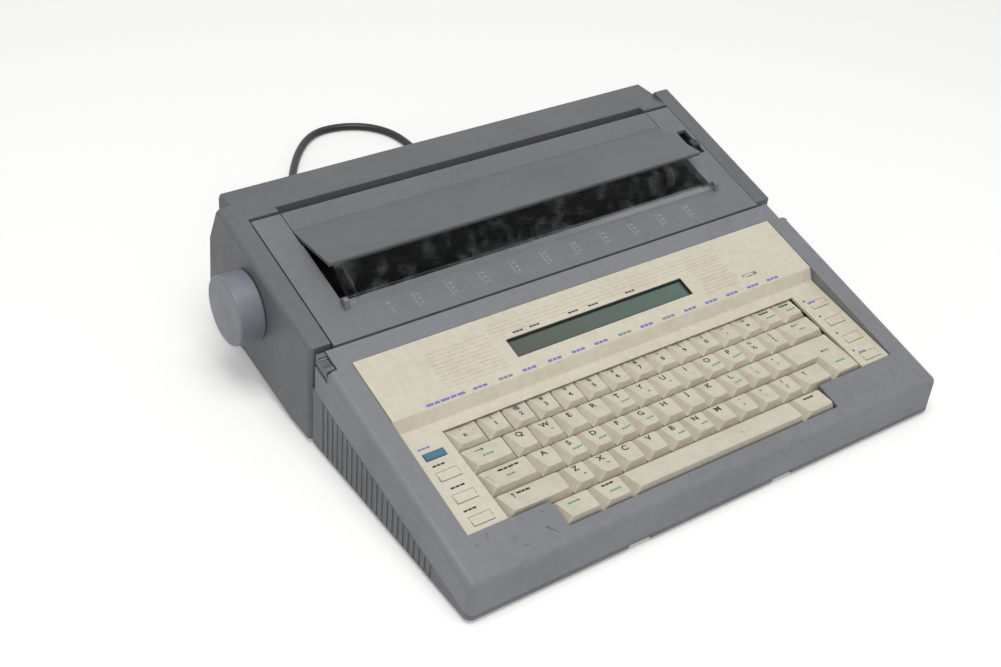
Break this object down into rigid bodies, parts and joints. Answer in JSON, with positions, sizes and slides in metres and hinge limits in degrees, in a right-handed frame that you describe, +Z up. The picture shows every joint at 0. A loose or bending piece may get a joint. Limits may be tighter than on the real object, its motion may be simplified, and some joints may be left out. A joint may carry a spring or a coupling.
{
  "type": "electric typewriter",
  "caption": "Portable electric typewriter: sloping keyboard, small display, hinged lid with visor and paper support over a platen and print-wheel carriage, mains cord.",
  "frame": {"origin": "bottom centre of the machine's bounding box, on the table, the cord left out", "axes": "+X to the typist's right along the keyboard, +Y from the front edge to the rear wall, +Z up"},
  "size_m": [0.4042, 0.5392, 0.1087],
  "materials": {
    "tray_grey": "satin moulded, fine texture",
    "case_grey": "satin moulded, fine texture",
    "deck_grey": "satin moulded, fine texture",
    "flap_grey": "satin moulded, fine texture",
    "knob_grey": "satin moulded",
    "panel_cream": "satin",
    "key_cream": "satin",
    "button_blue": "satin",
    "display_glass": "gloss",
    "clear_visor": "gloss",
    "platen_rubber": "ground matte",
    "foot_rubber": "matte",
    "belt_rubber": "matte",
    "black_plastic": "satin",
    "white_nylon": "satin",
    "board_green": "solder mask",
    "zinc_sheet": "zinc plated",
    "rod_steel": "ground",
    "motor_steel": "plated",
    "transformer_iron": "varnished",
    "cord_black": "matte"
  },
  "bodies": {
    "case": {"base_tray": "tray_grey", "front_case": "case_grey", "rear_housing": "deck_grey", "keyboard_panel": "panel_cream", "lcd_window": "display_glass", "lcd_module": "board_green", "key_plate": "zinc_sheet", "key_board": "board_green", "main_board": "board_green", "transformer": "transformer_iron", "chassis": "zinc_sheet", "guide_rods": "rod_steel", "drive_motors": "motor_steel", "drive_belt": "belt_rubber", "paper_chute": "black_plastic", "rubber_feet": "foot_rubber", "case_screws": "rod_steel", "platen_bushes": "white_nylon", "pulley_post": "rod_steel", "cord_relief": "cord_black", "power_cord": "cord_black", "cord_coil": "cord_black", "power_plug": "cord_black"},
    "lid": {"top_lid": "deck_grey"},
    "visor_flap": {"visor": "clear_visor"},
    "paper_flap": {"paper_support": "flap_grey"},
    "platen": {"platen_roller": "platen_rubber", "platen_shaft": "rod_steel", "platen_knob": "knob_grey", "platen_gear": "white_nylon"},
    "idler_gear": {"feed_idler_gear": "white_nylon"},
    "motor_pinion": {"feed_motor_pinion": "white_nylon"},
    "feed_roller_shaft": {"feed_rollers": "foot_rubber"},
    "release_lever": {"paper_release_lever": "black_plastic"},
    "carriage": {"carriage_frame": "black_plastic", "ribbon_cassette": "black_plastic", "wheel_motor": "motor_steel"},
    "print_wheel": {"daisy_wheel": "black_plastic"},
    "hammer": {"print_hammer": "rod_steel"},
    "belt_pulley_left": {"drive_pulley": "white_nylon"},
    "belt_pulley_right": {"idler_pulley": "white_nylon"},
    "switch_rocker": {"power_switch": "black_plastic"},
    "contrast": {"contrast_wheel": "black_plastic"},
    "alt_button_body": {"alt_button": "button_blue"},
    "function_buttons_body": {"function_buttons": "panel_cream"},
    "arrow_buttons_body": {"arrow_buttons": "panel_cream"},
    "number_row_keys_body": {"number_row_keys": "key_cream"},
    "qwerty_row_keys_body": {"qwerty_row_keys": "key_cream"},
    "home_row_keys_body": {"home_row_keys": "key_cream"},
    "bottom_row_keys_body": {"bottom_row_keys": "key_cream"},
    "tab_key_body": {"tab_key": "key_cream"},
    "shift_lock_key_body": {"shift_lock_key": "key_cream"},
    "left_shift_key_body": {"left_shift_key": "key_cream"},
    "right_shift_key_body": {"right_shift_key": "key_cream"},
    "return_key_body": {"return_key": "key_cream"},
    "backspace_key_body": {"backspace_key": "key_cream"},
    "space_bar_body": {"space_bar": "key_cream"},
    "code_key_body": {"code_key": "key_cream"},
    "word_key_body": {"word_key": "key_cream"},
    "correct_key_body": {"correct_key": "key_cream"}
  },
  "joints": [
    {"name": "lid_hinge", "type": "hinge", "parent": "case", "child": "lid", "pos_m": [0.00915, 0.1222, 0.1016], "axis": [-1, 0, 0], "range_deg": [0, 55]},
    {"name": "paper_support_hinge", "type": "hinge", "parent": "lid", "child": "paper_flap", "pos_m": [0.00915, 0.1222, 0.1016], "axis": [-1, 0, 0], "range_deg": [0, 95]},
    {"name": "visor_hinge", "type": "hinge", "parent": "lid", "child": "visor_flap", "pos_m": [0.00915, 0.038, 0.0857], "axis": [1, 0, 0], "range_deg": [0, 60]},
    {"name": "platen_turn", "type": "hinge", "parent": "case", "child": "platen", "pos_m": [0.00915, 0.096, 0.0607], "axis": [1, 0, 0], "continuous": true},
    {"name": "idler_turn", "type": "hinge", "parent": "case", "child": "idler_gear", "pos_m": [-0.16485, 0.12571, 0.04417], "axis": [1, 0, 0], "continuous": true},
    {"name": "pinion_turn", "type": "hinge", "parent": "case", "child": "motor_pinion", "pos_m": [-0.16485, 0.12, 0.025], "axis": [1, 0, 0], "continuous": true},
    {"name": "feed_roller_turn", "type": "hinge", "parent": "case", "child": "feed_roller_shaft", "pos_m": [0.00915, 0.09038, 0.03974], "axis": [1, 0, 0], "continuous": true},
    {"name": "release_lever_hinge", "type": "hinge", "parent": "case", "child": "release_lever", "pos_m": [0.17815, 0.11, 0.045], "axis": [-1, 0, 0], "range_deg": [0, 12]},
    {"name": "carriage_slide", "type": "slide", "parent": "case", "child": "carriage", "axis": [1, 0, 0], "range_m": [-0.11, 0.11]},
    {"name": "print_wheel_turn", "type": "hinge", "parent": "carriage", "child": "print_wheel", "pos_m": [0.00915, 0.076, 0.0375], "axis": [0, 1, 0], "continuous": true},
    {"name": "hammer_slide", "type": "slide", "parent": "carriage", "child": "hammer", "axis": [0, 1, 0], "range_m": [0, 0.0024], "stiffness_N_per_m": 60, "springref_m": -0.001},
    {"name": "pulley_left_turn", "type": "hinge", "parent": "case", "child": "belt_pulley_left", "pos_m": [-0.14185, 0.049, 0.0086], "axis": [0, 0, 1], "continuous": true},
    {"name": "pulley_right_turn", "type": "hinge", "parent": "case", "child": "belt_pulley_right", "pos_m": [0.16015, 0.049, 0.0086], "axis": [0, 0, 1], "continuous": true},
    {"name": "power_switch_rock", "type": "hinge", "parent": "case", "child": "switch_rocker", "pos_m": [-0.17605, 0.004, 0.06896], "axis": [1, 0, 0], "range_deg": [0, 8]},
    {"name": "contrast_turn", "type": "hinge", "parent": "case", "child": "contrast", "pos_m": [0.13365, -0.03782, 0.05494], "axis": [0, 0.9681, 0.2504], "range_deg": [0, 270]},
    {"name": "alt_button_press", "type": "slide", "parent": "case", "child": "alt_button_body", "axis": [0, 0.1736, -0.9848], "range_m": [0, 0.0015], "stiffness_N_per_m": 200, "springref_m": -0.002},
    {"name": "function_buttons_press", "type": "slide", "parent": "case", "child": "function_buttons_body", "axis": [0, 0.1736, -0.9848], "range_m": [0, 0.001], "stiffness_N_per_m": 600, "springref_m": -0.002},
    {"name": "arrow_buttons_press", "type": "slide", "parent": "case", "child": "arrow_buttons_body", "axis": [0, 0.1736, -0.9848], "range_m": [0, 0.001], "stiffness_N_per_m": 800, "springref_m": -0.002},
    {"name": "number_row_keys_press", "type": "slide", "parent": "case", "child": "number_row_keys_body", "axis": [0, 0.1736, -0.9848], "range_m": [0, 0.0035], "stiffness_N_per_m": 1500, "springref_m": -0.002},
    {"name": "qwerty_row_keys_press", "type": "slide", "parent": "case", "child": "qwerty_row_keys_body", "axis": [0, 0.1736, -0.9848], "range_m": [0, 0.0035], "stiffness_N_per_m": 1200, "springref_m": -0.002},
    {"name": "home_row_keys_press", "type": "slide", "parent": "case", "child": "home_row_keys_body", "axis": [0, 0.1736, -0.9848], "range_m": [0, 0.0035], "stiffness_N_per_m": 1100, "springref_m": -0.002},
    {"name": "bottom_row_keys_press", "type": "slide", "parent": "case", "child": "bottom_row_keys_body", "axis": [0, 0.1736, -0.9848], "range_m": [0, 0.0035], "stiffness_N_per_m": 1000, "springref_m": -0.002},
    {"name": "tab_key_press", "type": "slide", "parent": "case", "child": "tab_key_body", "axis": [0, 0.1736, -0.9848], "range_m": [0, 0.0035], "stiffness_N_per_m": 100, "springref_m": -0.002},
    {"name": "shift_lock_key_press", "type": "slide", "parent": "case", "child": "shift_lock_key_body", "axis": [0, 0.1736, -0.9848], "range_m": [0, 0.0035], "stiffness_N_per_m": 100, "springref_m": -0.002},
    {"name": "left_shift_key_press", "type": "slide", "parent": "case", "child": "left_shift_key_body", "axis": [0, 0.1736, -0.9848], "range_m": [0, 0.0035], "stiffness_N_per_m": 100, "springref_m": -0.002},
    {"name": "right_shift_key_press", "type": "slide", "parent": "case", "child": "right_shift_key_body", "axis": [0, 0.1736, -0.9848], "range_m": [0, 0.0035], "stiffness_N_per_m": 100, "springref_m": -0.002},
    {"name": "return_key_press", "type": "slide", "parent": "case", "child": "return_key_body", "axis": [0, 0.1736, -0.9848], "range_m": [0, 0.0035], "stiffness_N_per_m": 100, "springref_m": -0.002},
    {"name": "backspace_key_press", "type": "slide", "parent": "case", "child": "backspace_key_body", "axis": [0, 0.1736, -0.9848], "range_m": [0, 0.0035], "stiffness_N_per_m": 100, "springref_m": -0.002},
    {"name": "space_bar_press", "type": "slide", "parent": "case", "child": "space_bar_body", "axis": [0, 0.1736, -0.9848], "range_m": [0, 0.0035], "stiffness_N_per_m": 200, "springref_m": -0.002},
    {"name": "code_key_press", "type": "slide", "parent": "case", "child": "code_key_body", "axis": [0, 0.1736, -0.9848], "range_m": [0, 0.0035], "stiffness_N_per_m": 100, "springref_m": -0.002},
    {"name": "word_key_press", "type": "slide", "parent": "case", "child": "word_key_body", "axis": [0, 0.1736, -0.9848], "range_m": [0, 0.0035], "stiffness_N_per_m": 100, "springref_m": -0.002},
    {"name": "correct_key_press", "type": "slide", "parent": "case", "child": "correct_key_body", "axis": [0, 0.1736, -0.9848], "range_m": [0, 0.0035], "stiffness_N_per_m": 100, "springref_m": -0.002}
  ],
  "couplings": [
    {"joint": "idler_turn", "follows": "platen_turn", "ratio": -1.8333},
    {"joint": "pinion_turn", "follows": "platen_turn", "ratio": 2.75},
    {"joint": "feed_roller_turn", "follows": "platen_turn", "ratio": -2.5833},
    {"joint": "pulley_left_turn", "follows": "carriage_slide", "rad_per_m": -140.85},
    {"joint": "pulley_right_turn", "follows": "carriage_slide", "rad_per_m": -140.85}
  ]
}
